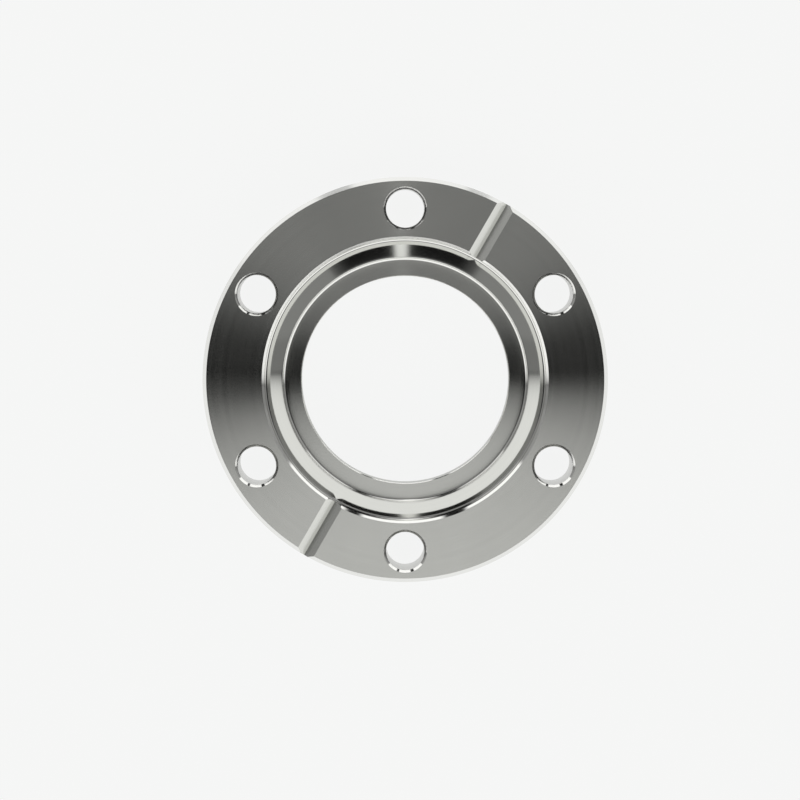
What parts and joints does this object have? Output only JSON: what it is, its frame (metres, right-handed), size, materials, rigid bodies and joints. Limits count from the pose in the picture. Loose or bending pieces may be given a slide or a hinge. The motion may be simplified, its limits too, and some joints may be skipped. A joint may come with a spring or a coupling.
{
  "type": "knife-edge vacuum flange",
  "caption": "Flat round steel vacuum flange with a raised knife edge in a gasket recess, a ring of bolt holes, leak-check grooves and a socket behind for a welded tube.",
  "frame": {"origin": "centre of the flat back face, on the flange's axis", "axes": "+Z is the axis, from the back face towards the knife-edge side; +Y points at one bolt hole"},
  "size_m": [0.0694, 0.0694, 0.0127],
  "materials": {
    "stainless_steel": "bright fine-turned stainless steel, with polished edge breaks"
  },
  "bodies": {
    "root": {"flange": "stainless_steel"}
  },
  "joints": []
}
